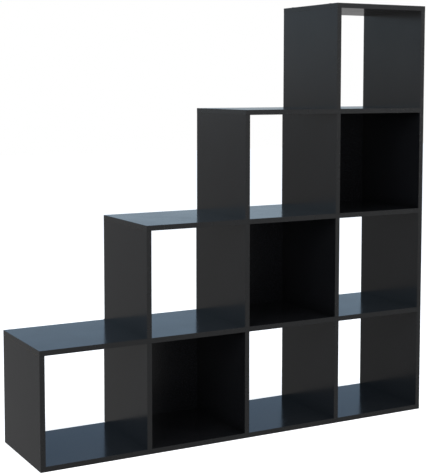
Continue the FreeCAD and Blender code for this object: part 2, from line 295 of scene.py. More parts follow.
def make_floor():
    """A plain pale floor, left out of the reflections and shadow rays so that the black stays deep."""
    mesh = bpy.data.meshes.new("floor")
    mesh.from_pydata([(x * FLOOR_HALF, y * FLOOR_HALF, 0) for x, y in FLOOR_CORNERS], [], [(0, 1, 2, 3)])
    floor = bpy.data.objects.new("floor", mesh)
    bpy.context.scene.collection.objects.link(floor)
    material = bpy.data.materials.new("pale_floor")
    material.use_nodes = True
    tree = material.node_tree
    shader = tree.nodes["Principled BSDF"].inputs
    for label, value in FLOOR_FINISH.items():
        shader[label].default_value = value
    seen = node(tree, "ShaderNodeLightPath").outputs["Is Camera Ray"]
    tree.links.new(times(tree, seen, FLOOR_GLOW), shader["Emission Strength"])
    mesh.materials.append(material)
    floor.visible_glossy = False
    floor.visible_shadow = False
    floor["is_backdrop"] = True


def soft_light(name, place, size, watts, colour):
    """A square soft box that looks at the middle of the unit."""
    data = bpy.data.lights.new(name, "AREA")
    data.shape = "SQUARE"
    data.size = size
    data.energy = watts
    data.color = colour
    light = bpy.data.objects.new(name, data)
    light.location = place
    aim = Vector((0, 0, HEIGHT / 2)) - Vector(place)
    light.rotation_euler = aim.to_track_quat("-Z", "Y").to_euler()
    light.visible_glossy = False
    light.visible_camera = False
    bpy.context.scene.collection.objects.link(light)


make_floor()
for light in LIGHTS:
    soft_light(*light)
print("floor and", len(LIGHTS), "lights ready")

# %% [markdown]
# ## Where the fittings sit
# Cams, screws, caps and dowels repeat many times, so each kind is modelled once and scattered. Their
# places could be typed in, but the construction already holds a plain solid at every one. A copy of those
# triangles is merged and walked, solid by solid, and the box around each one tells the place, the length
# and the way it points.

# %% Find every fitting's place
SAME_POINT = 1e-6


def solids_in(name):
    """The boxes (lowest, highest corner) around the separate solids of a construction node."""
    work = bmesh.new()
    work.from_mesh(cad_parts[name].data)
    bmesh.ops.remove_doubles(work, verts=work.verts, dist=SAME_POINT)
    boxes = []
    seen = set()
    for start in work.verts:
        if start in seen:
            continue
        seen.add(start)
        front = [start]
        low, high = start.co.copy(), start.co.copy()
        while front:
            vertex = front.pop()
            for axis in range(3):
                low[axis] = min(low[axis], vertex.co[axis])
                high[axis] = max(high[axis], vertex.co[axis])
            for edge in vertex.link_edges:
                other = edge.other_vert(vertex)
                if other not in seen:
                    seen.add(other)
                    front.append(other)
        boxes.append((low, high))
    work.free()
    return boxes


def outer_place(box, aim):
    """The middle of a box's outer face on the side that a direction points to."""
    low, high = box
    middle = (low + high) / 2
    half = (high - low) / 2
    return middle + Vector(component * reach for component, reach in zip(aim, half))


def outer_places(names, aim, second, depth=0.0):
    """The outer middle of every solid in some nodes, moved in by a depth, with the two directions."""
    inward = Vector(aim) * -depth
    return [(outer_place(box, aim) + inward, aim, second) for name in names for box in solids_in(name)]


def place_points(name, places):
    """A mesh of loose points that carry a turn each: its Z is the aim and its Y the second direction."""
    mesh = bpy.data.meshes.new(name)
    mesh.from_pydata([place for place, aim, second in places], [], [])
    turns = mesh.attributes.new("turn", "QUATERNION", "POINT")
    for item, (place, aim, second) in zip(turns.data, places):
        aim, second = Vector(aim), Vector(second)
        item.value = Matrix((second.cross(aim), second, aim)).transposed().to_quaternion()
    points = bpy.data.objects.new(name, mesh)
    bpy.context.scene.collection.objects.link(points)
    return points


UP, DOWN, RIGHT, BACKWARD = (0, 0, 1), (0, 0, -1), (1, 0, 0), (0, 1, 0)
cam_boxes = solids_in("cam_locks")
print("cam locks found:", len(cam_boxes))

# %% [markdown]
# ## A lathe in Geometry Nodes
# Nearly every fitting is a turned part. Each could be spun from its own outline, but one lathe tool does
# them all: it takes a cylinder with one ring of points for each step of the profile and moves each ring
# to its own radius and height. The result is one closed skin, so a recess can be cut into it cleanly with
# a Boolean.

# %% The lathe and the tools around it
SIDES = {
    "cam": 48, "cam hollow": 40, "cam arrow": 3, "screw": 32,
    "bolt": 32, "cap": 48, "dowel": 96, "hexagon": 6,
}
STEPS_PER_TURN = 14
DIAMOND_SIDES = 4


def picked(tree, index, values):
    """One of several numbers, by index."""
    switch = tree.nodes.new("GeometryNodeIndexSwitch")
    switch.data_type = "FLOAT"
    while len(switch.index_switch_items) < len(values):
        switch.index_switch_items.new()
    tree.links.new(index, switch.inputs[0])
    for place, value in enumerate(values, start=1):
        if isinstance(value, bpy.types.NodeSocket):
            tree.links.new(value, switch.inputs[place])
        else:
            switch.inputs[place].default_value = value
    return switch.outputs[0]


def combined(tree, x=0.0, y=0.0, z=0.0):
    """A vector from three numbers."""
    return node(tree, "ShaderNodeCombineXYZ", {0: x, 1: y, 2: z}).outputs[0]


def position(tree):
    return node(tree, "GeometryNodeInputPosition").outputs[0]


def below(tree, depth):
    """The height of a place so deep under the face."""
    return times(tree, depth, -1.0)


def moved(tree, shape, place=(0, 0, 0), turn=(0, 0, 0)):
    """A shape turned and then moved."""
    values = {"Geometry": shape, "Translation": place, "Rotation": turn}
    return node(tree, "GeometryNodeTransform", values).outputs[0]


def lathe(tree, sides, stations):
    """A turned solid along Z, from (radius, height) stations listed from the top down."""
    rings = len(stations) - 1
    stock_sizes = {"Vertices": sides, "Side Segments": rings, "Radius": 1.0, "Depth": 2.0}
    stock = node(tree, "GeometryNodeMeshCylinder", stock_sizes, fill_type="NGON").outputs[0]
    x, y, z = parts(tree, position(tree))
    ring = maths(tree, "ROUND", maths(tree, "MULTIPLY_ADD", z, -rings / 2, rings / 2))
    radius, height = (picked(tree, ring, values) for values in zip(*stations))
    place = combined(tree, times(tree, x, radius), times(tree, y, radius), height)
    return node(tree, "GeometryNodeSetPosition", {"Geometry": stock, "Position": place}).outputs[0]


def bar(tree, width, length, low, high, angle=0.0, offset=0.0):
    """A square bar around the Z axis between two heights, pushed along its length by an offset."""
    size = combined(tree, width, length, minus(tree, high, low))
    place = combined(tree, 0.0, offset, times(tree, plus(tree, high, low), 0.5))
    cube = node(tree, "GeometryNodeMeshCube", {"Size": size}).outputs[0]
    return moved(tree, moved(tree, cube, place), turn=(0, 0, angle))


def helix_thread(tree, given, top, bottom):
    """A thread between two heights: a thin diamond swept along a right-handed spiral."""
    run = minus(tree, top, bottom)
    middle = times(tree, plus(tree, given["Core Radius"], given["Thread Radius"]), 0.5)
    turns = maths(tree, "DIVIDE", run, given["Pitch"])
    spiral = {"Resolution": STEPS_PER_TURN, "Rotations": turns, "Height": run}
    spiral.update({"Start Radius": middle, "End Radius": middle})
    helix = node(tree, "GeometryNodeCurveSpiral", spiral).outputs[0]
    helix = node(tree, "GeometryNodeSetCurveNormal", {"Curve": helix}, mode="Z_UP").outputs[0]
    height = times(tree, minus(tree, given["Thread Radius"], given["Core Radius"]), 0.5)
    diamond = {"Resolution": DIAMOND_SIDES, "Radius": height}
    diamond = node(tree, "GeometryNodeCurvePrimitiveCircle", diamond).outputs["Curve"]
    swept = {"Curve": helix, "Profile Curve": diamond, "Fill Caps": True}
    thread = node(tree, "GeometryNodeCurveToMesh", swept).outputs[0]
    return moved(tree, thread, combined(tree, z=bottom))


def hexagon(tree, flats, high, low):
    """A hexagonal bar of a width across flats, between two heights."""
    corner = times(tree, flats, 1 / math.sqrt(3))
    return lathe(tree, SIDES["hexagon"], [(corner, high), (corner, low)])


def joined(tree, *shapes):
    """Several shapes as one geometry."""
    join = tree.nodes.new("GeometryNodeJoinGeometry")
    for shape in shapes:
        tree.links.new(shape, join.inputs[0])
    return join.outputs[0]


def carved(tree, solid, *cutters):
    """A solid with other solids cut out of it."""
    for cutter in cutters:
        cut = tree.nodes.new("GeometryNodeMeshBoolean")
        cut.operation = "DIFFERENCE"
        cut.solver = "EXACT"
        tree.links.new(solid, cut.inputs["Mesh 1"])
        tree.links.new(cutter, cut.inputs["Mesh 2"])
        solid = cut.outputs[0]
    return solid


print("lathe ready")

# %% [markdown]
# ## Scattering the copies
# A fitting is modelled around the origin and copied to its points. Each copy is turned as its point says,
# and a little more at random, because nobody stops a screwdriver at the same angle twice. Two attributes
# go along: the place on the lathe, for turning marks, and a random tone for each copy.

# %% Scatter a fitting and keep the result as a plain mesh
CREASE = math.radians(32)
TONE_SEED_STEP = 7
ANY_WAY = math.pi


def fitting_tree(name, sizes):
    """A tree with points, a material, a seed, a swing and the named sizes as its inputs."""
    labels = [("Points", "NodeSocketGeometry", None), ("Material", "NodeSocketMaterial", None)]
    labels += [("Seed", "NodeSocketInt", 1), ("Swing", "NodeSocketFloat", 0.0)]
    labels += [(label, "NodeSocketFloat", MM) for label in sizes]
    return open_group(name, "GeometryNodeTree", labels, [("Geometry", "NodeSocketGeometry")])


def stored(tree, geometry, name, value, data_type, domain="POINT"):
    """A geometry that keeps a value under a name."""
    values = {"Geometry": geometry, "Name": name, "Value": value}
    kind = {"data_type": data_type, "domain": domain}
    return node(tree, "GeometryNodeStoreNamedAttribute", values, **kind).outputs[0]


def scatter(tree, shape, given, result):
    """Ends a tree: the shape at every point, turned as the point says and swung about its own axis."""
    smooth = {"Geometry": shape, "Shade Smooth": True}
    shaded = node(tree, "GeometryNodeSetShadeSmooth", smooth, domain="FACE").outputs[0]
    angle = node(tree, "GeometryNodeInputMeshEdgeAngle").outputs[0]
    crease = node(tree, "FunctionNodeCompare", {0: angle, 1: CREASE}, operation="GREATER_THAN").outputs[0]
    creased = {"Geometry": shaded, "Selection": crease, "Shade Smooth": False}
    shaded = node(tree, "GeometryNodeSetShadeSmooth", creased, domain="EDGE").outputs[0]
    shaded = stored(tree, shaded, "own_place", position(tree), "FLOAT_VECTOR")
    named = {"Name": "turn"}
    turn = node(tree, "GeometryNodeInputNamedAttribute", named, data_type="QUATERNION").outputs[0]
    limits = {2: times(tree, given["Swing"], -1.0), 3: given["Swing"], "Seed": given["Seed"]}
    spin = node(tree, "FunctionNodeRandomValue", limits, data_type="FLOAT").outputs[1]
    spun = node(tree, "FunctionNodeAxisAngleToRotation", {"Axis": (0, 0, 1), "Angle": spin}).outputs[0]
    turn = node(tree, "FunctionNodeRotateRotation", {0: turn, 1: spun}, rotation_space="LOCAL").outputs[0]
    placed = {"Points": given["Points"], "Instance": shaded, "Rotation": turn}
    placed = node(tree, "GeometryNodeInstanceOnPoints", placed).outputs[0]
    tone_seed = {"Seed": plus(tree, given["Seed"], TONE_SEED_STEP)}
    tone = node(tree, "FunctionNodeRandomValue", tone_seed, data_type="FLOAT").outputs[1]
    placed = stored(tree, placed, "tone", tone, "FLOAT", "INSTANCE")
    real = node(tree, "GeometryNodeRealizeInstances", {"Geometry": placed}).outputs[0]
    finished_shape = {"Geometry": real, "Material": given["Material"]}
    tree.links.new(node(tree, "GeometryNodeSetMaterial", finished_shape).outputs[0], result.inputs[0])
    return tree


def millimetres(**sizes):
    """Sizes given in millimetres, as metres under the names of a tree's inputs."""
    return {label.replace("_", " "): size * MM for label, size in sizes.items()}


def make_fittings(name, tree, places, sizes, material, slot, replaced, seed, swing=0.0):
    """Runs a fitting's tree on its places and hands over the mesh in place of the plain solids."""
    piece = place_points(name, places)
    modifier = piece.modifiers.new(name, "NODES")
    modifier.node_group = tree
    values = {"Material": material, "Seed": seed, "Swing": swing, **sizes}
    for item in tree.interface.items_tree:
        if item.in_out == "INPUT" and item.name in values:
            modifier[item.identifier] = values.pop(item.name)
    assert not values, f"{name} has no input named {sorted(values)}"
    shape = piece.evaluated_get(bpy.context.evaluated_depsgraph_get())
    mesh = bpy.data.meshes.new_from_object(shape)
    piece.modifiers.remove(modifier)
    piece.data = mesh
    mesh.name = name
    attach(piece, "root")
    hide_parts(*replaced)
    print(name, "-", len(places), "pieces,", len(mesh.polygons), "faces")


print("ready to make fittings")

# %% [markdown]
# ## Effects that several finishes share
# The same few things happen to every surface: a fine texture from the press plate, arrises that rub a
# little paler, dust that settles on what faces up, and a gloss that hands and cloths have made uneven.
# Each is a node group that is built once, and every finish uses it with its own values.

# %% Patterns and groups
MIDDLE = (0.3, 0.7)


def object_place(tree):
    """The place on the piece, in metres."""
    return node(tree, "ShaderNodeTexCoord").outputs["Object"]


def noise(tree, scale, detail=2.0, roughness=0.5, place=None):
    """Plain noise of one scale, in bumps for each metre."""
    values = {"Vector": place or object_place(tree), "Scale": scale}
    values.update({"Detail": detail, "Roughness": roughness})
    return node(tree, "ShaderNodeTexNoise", values).outputs[0]


def mottled(tree, scale, detail=2.0, roughness=0.5, low=0.0, high=1.0, place=None):
    """Noise whose middle range is spread between two values."""
    return ranged(tree, noise(tree, scale, detail, roughness, place), *MIDDLE, low, high)


def stretched(tree, place, factors):
    """A place with its axes scaled, for streaks."""
    return node(tree, "ShaderNodeVectorMath", {0: place, 1: factors}, operation="MULTIPLY").outputs[0]


def dot(tree, first, second):
    made = node(tree, "ShaderNodeVectorMath", {0: first, 1: second}, operation="DOT_PRODUCT")
    return made.outputs["Value"]


def true_normal(tree):
    return node(tree, "ShaderNodeNewGeometry").outputs["True Normal"]


def open_effect(name, inputs, output="Mask"):
    """Starts a shader group with number inputs and one number output."""
    sockets = [(label, "NodeSocketFloat", value) for label, value in inputs.items()]
    return open_group(name, "ShaderNodeTree", sockets, [(output, "NodeSocketFloat")])


def close_effect(tree, value, result):
    """Ends a shader group with the value that it puts out."""
    tree.links.new(value, result.inputs[0])
    print("group:", tree.name)
    return tree


print("pattern helpers ready")

# %% The grain of the press plate and the dust
WAVES_PER_METRE = 28.0
SPECKS_PER_METRE = 1500.0
FACING_UP = (0.7, 0.98)


def make_press_grain():
    """Height of a pressed surface: fine pearls and a faint long wave, both between 0 and 1."""
    inputs = {"Pearls per metre": 900.0, "Wave share": 0.3}
    tree, given, result = open_effect("press_grain", inputs, "Height")
    pearls, wave = noise(tree, given[0], 3.0, 0.6), noise(tree, WAVES_PER_METRE, 1.0)
    height = node(tree, "ShaderNodeMix", {0: given[1], 2: pearls, 3: wave}).outputs[0]
    return close_effect(tree, height, result)


def make_dust():
    """A mask of fine dust, only on what faces up, in soft patches."""
    tree, given, result = open_effect("settled_dust", {"Amount": 0.3, "Patches per metre": 6.0})
    normal = node(tree, "ShaderNodeNewGeometry").outputs["Normal"]
    level = ranged(tree, parts(tree, normal)[2], *FACING_UP)
    patches = ranged(tree, noise(tree, given[1], 4.0, 0.6), 0.35, 0.75, 0.25, 1.0)
    specks = ranged(tree, noise(tree, SPECKS_PER_METRE, 1.0), 0.5, 0.75, 0.3, 1.0)
    mask = times(tree, times(tree, level, patches), times(tree, specks, given[0]))
    return close_effect(tree, mask, result)


press_grain, settled_dust = make_press_grain(), make_dust()

# %% Rubbed arrises, uneven gloss and hairline scratches
ROUNDING = (0.995, 0.86)
SMEARS_PER_METRE = 9.0
SMEAR_SHARE = 0.65
STREAKS_PER_METRE = (6.0, 6.0, 90.0)
SCRATCH_TURNS = ((0.5, 0.9, 0.3), (-0.8, 0.4, 1.1))
SCRATCH_STRETCH = (1.0, 0.03, 0.03)
SCRATCH_WIDTH = 0.006
SCRATCHED_PATCHES_PER_METRE = 14.0


def make_rubbed_edge():
    """A mask on sharp edges, broken up by noise. It compares the true normal with a rounded one."""
    inputs = {"Reach": 0.8 * MM, "Amount": 1.0, "Breaks per metre": 60.0}
    tree, given, result = open_effect("rubbed_edge", inputs)
    rounded = node(tree, "ShaderNodeBevel", {"Radius": given[0]}, samples=4).outputs[0]
    edge = ranged(tree, dot(tree, rounded, true_normal(tree)), *ROUNDING)
    breaks = ranged(tree, noise(tree, given[2], 5.0, 0.7), 0.38, 0.66, 0.15, 1.0)
    return close_effect(tree, times(tree, times(tree, edge, breaks), given[1]), result)


def make_handled_gloss():
    """Roughness between a lowest and a highest value: hand-sized smears and fine wiping streaks."""
    tree, given, result = open_effect("handled_gloss", {"Glossiest": 0.1, "Dullest": 0.2}, "Roughness")
    smears = ranged(tree, noise(tree, SMEARS_PER_METRE, 5.0, 0.62), 0.35, 0.7)
    streaks = noise(tree, 1.0, 4.0, 0.6, stretched(tree, object_place(tree), STREAKS_PER_METRE))
    share = maths(tree, "MULTIPLY_ADD", streaks, 1 - SMEAR_SHARE, times(tree, smears, SMEAR_SHARE))
    spread = minus(tree, given[1], given[0])
    return close_effect(tree, maths(tree, "MULTIPLY_ADD", share, spread, given[0]), result)


def make_hairlines():
    """A mask of a few hairline scratches that run in two slanting directions."""
    tree, given, result = open_effect("hairlines", {"Lines per metre": 130.0, "Amount": 1.0})
    masks = []
    for turn in SCRATCH_TURNS:
        mapping = {"Vector": object_place(tree), "Rotation": turn, "Scale": SCRATCH_STRETCH}
        lines = noise(tree, given[0], 1.0, place=node(tree, "ShaderNodeMapping", mapping).outputs[0])
        away = maths(tree, "ABSOLUTE", minus(tree, lines, 0.5))
        line = ranged(tree, away, 0.0, SCRATCH_WIDTH, 1.0, 0.0)
        patches = noise(tree, SCRATCHED_PATCHES_PER_METRE)
        masks.append(times(tree, line, ranged(tree, patches, 0.56, 0.64)))
    return close_effect(tree, times(tree, maths(tree, "MAXIMUM", *masks), given[1]), result)


rubbed_edge, handled_gloss, hairlines = make_rubbed_edge(), make_handled_gloss(), make_hairlines()

# %% [markdown]
# ## Inner corners
# Where an upright stands on a board the corner looks deeper than the faces around it, because little light
# gets in. That shade is painted into the colour: a few short rays tell how closed in a spot is, and the
# finish uses that share to darken its colour.

# %% Painted shade in inner corners
OPEN_TO_CLOSED = (0.95, 0.45)


def make_painted_corner_shade():
    """A mask of painted shade that is 0 on open faces and grows where other faces stand close."""
    tree, given, result = open_effect("painted_corner_shade", {"Reach": 100 * MM, "Amount": 1.0})
    open_share = node(tree, "ShaderNodeAmbientOcclusion", {"Distance": given[0]}, samples=6).outputs["AO"]
    return close_effect(tree, times(tree, ranged(tree, open_share, *OPEN_TO_CLOSED), given[1]), result)


painted_corner_shade = make_painted_corner_shade()

# %% [markdown]
# ## Chipboard under the black
# A flat-pack board is particle board between two sheets of printed resin paper. Wherever it has been cut
# or drilled the chips show: in the bores, in the cam pockets and on the ends that butt. A mask tells a
# sheet face from a cut face by its normal, so every drilled hole is pale inside without a second mesh.

# %% Cut faces and the look of the chips
SHEET_FACING = 0.6
GLUE_RIM = 1.2 * MM
PAST_THE_RIM = (0.97, 0.998)
CHIP_STRETCH = (1.0, 1.0, 2.6)
CHIP_COLOURS = (
    (0.0, (0.16, 0.085, 0.04)),
    (0.35, (0.36, 0.22, 0.11)),
    (0.7, (0.5, 0.34, 0.19)),
    (1.0, (0.62, 0.47, 0.3)),
)


def make_cut_face():
    """A mask of faces that don't look along the thickness, less the rim that glue has darkened."""
    inputs = [("Thickness axis", "NodeSocketVector", (0, 0, 1))]
    tree, given, result = open_group("cut_face", "ShaderNodeTree", inputs, [("Mask", "NodeSocketFloat")])
    true = true_normal(tree)
    cut = maths(tree, "LESS_THAN", maths(tree, "ABSOLUTE", dot(tree, true, given[0])), SHEET_FACING)
    rounded = node(tree, "ShaderNodeBevel", {"Radius": GLUE_RIM}, samples=4).outputs[0]
    inside = ranged(tree, dot(tree, rounded, true), *PAST_THE_RIM)
    return close_effect(tree, times(tree, cut, inside), result)


def make_chips():
    """Pressed wood chips: pale and brown flakes a millimetre or three long, and their height."""
    inputs = [("Chips per metre", "NodeSocketFloat", 600.0)]
    outputs = [("Height", "NodeSocketFloat"), ("Color", "NodeSocketColor")]
    tree, given, result = open_group("wood_chips", "ShaderNodeTree", inputs, outputs)
    place = stretched(tree, object_place(tree), CHIP_STRETCH)
    cells = node(tree, "ShaderNodeTexVoronoi", {"Vector": place, "Scale": given[0], "Randomness": 1.0})
    tint = parts(tree, cells.outputs["Color"])[0]
    tree.links.new(ramp(tree, tint, CHIP_COLOURS), result.inputs[1])
    return close_effect(tree, cells.outputs["Distance"], result)


cut_face, wood_chips = make_cut_face(), make_chips()

# %% Helpers for the finishes


def finish(name, **constants):
    """A new material and its node tree, with constants set on the inputs of its Principled shader."""
    material = bpy.data.materials.new(name)
    material.use_nodes = True
    shader = material.node_tree.nodes["Principled BSDF"].inputs
    for label, value in constants.items():
        shader[label.replace("_", " ")].default_value = value
    return material.node_tree, material


def finished(material, colour, roughness, normal):
    """Links what a finish has worked out to its Principled shader."""
    tree = material.node_tree
    shader = tree.nodes["Principled BSDF"].inputs
    for label, value in (("Base Color", colour), ("Roughness", roughness), ("Normal", normal)):
        tree.links.new(value, shader[label])
    return material


def grouped(tree, group, **values):
    """The outputs of a shared effect inside a material, with its own values."""
    made = tree.nodes.new("ShaderNodeGroup")
    made.node_tree = group
    for label, value in values.items():
        made.inputs[label.replace("_", " ")].default_value = value
    return made.outputs


def worn(tree, reach, amount, breaks=60.0):
    """The rubbed arrises of one finish: their reach, their strength and how often they break up."""
    return grouped(tree, rubbed_edge, Reach=reach, Amount=amount, Breaks_per_metre=breaks)[0]


def attribute(tree, name, output="Fac"):
    """A value that the copies of a fitting carry."""
    return node(tree, "ShaderNodeAttribute", attribute_name=name).outputs[output]


def bumped(tree, height, depth):
    """A normal bent by a height, whose full range is so many metres deep."""
    return node(tree, "ShaderNodeBump", {"Height": height, "Distance": depth}).outputs[0]


def rgba(red, green, blue):
    return (red, green, blue, 1.0)


def grey(level):
    return (level, level, level, 1.0)


print("finish helpers ready")

# %% [markdown]
# ## The boards: black melamine
# The sheet is nearly black and quite glossy. It looks blue on top because it mirrors the sky, not because
# of its colour, so its own colour stays very dark and the reflection does the work. The uprights have
# seen more hands and are a little duller than the boards that lie level. The pearls are a few thousandths
# of a millimetre deep: enough to soften a highlight, too little to be seen as bumps.

# %% Black melamine, for level boards and for upright ones
MELAMINE = rgba(0.0064, 0.0067, 0.0078)
MELAMINE_RUBBED = rgba(0.05, 0.049, 0.047)
# The next colour is painted shade: inner corners are darkened to it where little light reaches.
PAINTED_CORNER_SHADE = rgba(0.0020, 0.0021, 0.0024)
DUST = rgba(0.30, 0.29, 0.27)
PEARL_DEPTH = 0.003 * MM
CHIP_DEPTH = 0.2 * MM
CHIP_ROUGHNESS = 0.8


def black_melamine(name, thickness_axis, glossiest, dullest):
    """The boards' finish. Sheet faces are glossy black, and cut faces show chips."""
    tree, material = finish(name, IOR=1.5)
    cut = grouped(tree, cut_face, Thickness_axis=thickness_axis)[0]
    chips = grouped(tree, wood_chips)
    edge = worn(tree, 0.6 * MM, 0.12)
    # Painted shade: the base colour darkens in inner corners, where short rays find other faces close.
    painted_shade = grouped(tree, painted_corner_shade, Reach=40 * MM, Amount=0.6)[0]
    dust = grouped(tree, settled_dust, Amount=0.035)[0]
    lines = grouped(tree, hairlines, Amount=0.5)[0]
    sheet = mixed(tree, edge, mixed(tree, painted_shade, MELAMINE, PAINTED_CORNER_SHADE), MELAMINE_RUBBED)
    colour = mixed(tree, cut, mixed(tree, dust, sheet, DUST), chips["Color"])
    gloss = grouped(tree, handled_gloss, Glossiest=glossiest, Dullest=dullest)[0]
    for mask, duller in ((dust, 1.5), (edge, 0.25), (lines, 0.12)):
        gloss = maths(tree, "MULTIPLY_ADD", mask, duller, gloss)
    pearls = grouped(tree, press_grain, Pearls_per_metre=1100.0, Wave_share=0.25)[0]
    depths = {0: cut, 2: times(tree, pearls, PEARL_DEPTH), 3: times(tree, chips["Height"], CHIP_DEPTH)}
    normal = bumped(tree, node(tree, "ShaderNodeMix", depths).outputs[0], 1.0)
    return finished(material, colour, ranged(tree, cut, 0.0, 1.0, gloss, CHIP_ROUGHNESS), normal)


LEVEL_BOARDS = ["bottom_board", "shelf_1", "shelf_2", "shelf_3", "top_board"]
finishes = {
    "level": black_melamine("black_melamine_level", (0, 0, 1), 0.10, 0.19),
    "upright": black_melamine("black_melamine_upright", (1, 0, 0), 0.14, 0.23),
}
print("melamine on", len(LEVEL_BOARDS), "level boards and on the uprights")

# %% [markdown]
# ## The edging
# Each cut edge that shows is covered by a plastic strip, 0.8 mm thick, glued on and trimmed flush by a
# router. The strip is a touch greyer and less glossy than the sheet, and the trimmed corners catch a thin
# line of light. Every strip is a solid of its own in the construction, so it needs only a finish, which
# the shared effects give with other values.

# %% Black plastic edging
STRIP = rgba(0.0124, 0.0124, 0.0126)
STRIP_RUBBED = rgba(0.06, 0.059, 0.058)
RIPPLE_DEPTH = 0.006 * MM


def strip_plastic():
    tree, material = finish("strip_plastic", IOR=1.48)
    edge = worn(tree, 0.5 * MM, 0.06, 90.0)
    dust = grouped(tree, settled_dust, Amount=0.03)[0]
    colour = mixed(tree, edge, STRIP, STRIP_RUBBED)
    gloss = grouped(tree, handled_gloss, Glossiest=0.23, Dullest=0.31)[0]
    ripple = grouped(tree, press_grain, Pearls_per_metre=700.0, Wave_share=0.5)[0]
    roughness = maths(tree, "MULTIPLY_ADD", edge, 0.15, gloss)
    normal = bumped(tree, ripple, RIPPLE_DEPTH)
    return finished(material, mixed(tree, dust, colour, DUST), roughness, normal)


finishes["edging"] = strip_plastic()
print("finish:", finishes["edging"].name)

# %% [markdown]
# ## The back panels
# They are hardboard, painted black on both sides, and the pressed fibres show through the paint as a
# faint mottle. The paint has a soft sheen. In the lowest backed cell one end of the panel mirrors the
# pale surroundings in front and fades from grey to black; the others mirror only the dark wall beside
# them. That fade sets the roughness. Noise of two scales makes the fibres and the mottle. The paint fills
# the fibres, so what is left of them is less than two hundredths of a millimetre deep.

# %% Painted hardboard
PAINT_BLACKS = (rgba(0.0056, 0.0057, 0.0070), rgba(0.0076, 0.0077, 0.0092))
PAINT_RUBBED = rgba(0.08, 0.06, 0.045)
PAINT_ROUGHNESS = (0.22, 0.30)
FIBRES_PER_METRE = 420.0
FIBRE_DEPTH = 0.015 * MM
MOTTLES_PER_METRE = 38.0


def painted_hardboard():
    tree, material = finish("painted_hardboard", IOR=1.5)
    fibres = noise(tree, FIBRES_PER_METRE, 5.0, 0.65)
    black = mixed(tree, mottled(tree, MOTTLES_PER_METRE, 3.0), *PAINT_BLACKS)
    colour = mixed(tree, worn(tree, 0.6 * MM, 0.7), black, PAINT_RUBBED)
    roughness = ranged(tree, fibres, *MIDDLE, *PAINT_ROUGHNESS)
    return finished(material, colour, roughness, bumped(tree, fibres, FIBRE_DEPTH))


finishes["back"] = painted_hardboard()
print("finish:", finishes["back"].name)

# %% Dress the boards, the edging and the back panels


def dress(names, material):
    """Gives construction pieces a finish."""
    for name in names:
        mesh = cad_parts[name].data
        mesh.materials.clear()
        mesh.materials.append(material)
    print(material.name, "on", len(names), "pieces")


strips = [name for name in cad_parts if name.endswith("edging")]
uprights = ["left_side", "right_side"]
uprights += [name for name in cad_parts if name.startswith("divider_") and name not in strips]
dress(LEVEL_BOARDS, finishes["level"])
dress(uprights, finishes["upright"])
dress(strips, finishes["edging"])
dress(["back_panel_1", "back_panel_2", "back_panel_3"], finishes["back"])

# %% [markdown]
# ## Metals, wood and small plastic
# The fittings are die-cast zinc, plated steel, blackened steel, galvanised sheet, beech and black
# plastic. The turned parts keep their own place on the lathe as an attribute, so turning marks can run in
# rings around each axis even though all the copies are one mesh.

# %% Cast zinc, plated steel and blackened steel
ZINC_GREYS = (rgba(0.42, 0.42, 0.43), rgba(0.56, 0.56, 0.57))
ZINC_TARNISHED = rgba(0.38, 0.37, 0.36)
ZINC_RUBBED = grey(0.8)
PLATED_GREYS = (rgba(0.60, 0.60, 0.58), rgba(0.72, 0.72, 0.71))
PLATED_RUBBED = rgba(0.85, 0.85, 0.84)
BLACKENED_GREYS = (rgba(0.018, 0.018, 0.02), rgba(0.035, 0.034, 0.035))
BLACKENED_RUBBED = rgba(0.3, 0.29, 0.28)
RINGS_PER_METRE = 5200.0


def rings_on_lathe(tree, per_metre):
    """Rings around each fitting's own axis, between 0 and 1."""
    flat = stretched(tree, attribute(tree, "own_place", "Vector"), (1.0, 1.0, 0.0))
    radius = node(tree, "ShaderNodeVectorMath", {0: flat}, operation="LENGTH").outputs["Value"]
    return maths(tree, "PINGPONG", times(tree, radius, per_metre), 1.0)


def cast_zinc():
    tree, material = finish("cast_zinc", Metallic=1.0)
    skin = noise(tree, 1400.0, 4.0, 0.6)
    edge = worn(tree, 0.3 * MM, 1.0, 500.0)
    colour = mixed(tree, mottled(tree, 260.0, 3.0), *ZINC_GREYS)
    colour = mixed(tree, times(tree, attribute(tree, "tone"), 0.35), colour, ZINC_TARNISHED)
    roughness = maths(tree, "MULTIPLY_ADD", edge, -0.15, ranged(tree, skin, *MIDDLE, 0.36, 0.56))
    normal = bumped(tree, skin, 0.03 * MM)
    return finished(material, mixed(tree, edge, colour, ZINC_RUBBED), roughness, normal)


def plated_steel():
    tree, material = finish("plated_steel", Metallic=1.0)
    cloud = mottled(tree, 180.0, 4.0, 0.6)
    colour = mixed(tree, cloud, *PLATED_GREYS)
    colour = mixed(tree, worn(tree, 0.3 * MM, 0.8, 500.0), colour, PLATED_RUBBED)
    roughness = ranged(tree, cloud, 0.0, 1.0, 0.2, 0.34)
    return finished(material, colour, roughness, bumped(tree, noise(tree, 2200.0), 0.01 * MM))


def blackened_steel():
    tree, material = finish("blackened_steel", Metallic=0.6)
    cloud = mottled(tree, 300.0, 4.0, 0.6)
    colour = mixed(tree, cloud, *BLACKENED_GREYS)
    colour = mixed(tree, worn(tree, 0.35 * MM, 1.0, 450.0), colour, BLACKENED_RUBBED)
    marks = rings_on_lathe(tree, RINGS_PER_METRE)
    roughness = ranged(tree, marks, 0.0, 1.0, 0.3, 0.42)
    return finished(material, colour, roughness, bumped(tree, marks, 0.008 * MM))


finishes["zinc"] = cast_zinc()
finishes["plated"] = plated_steel()
finishes["blackened"] = blackened_steel()
print("metals ready")

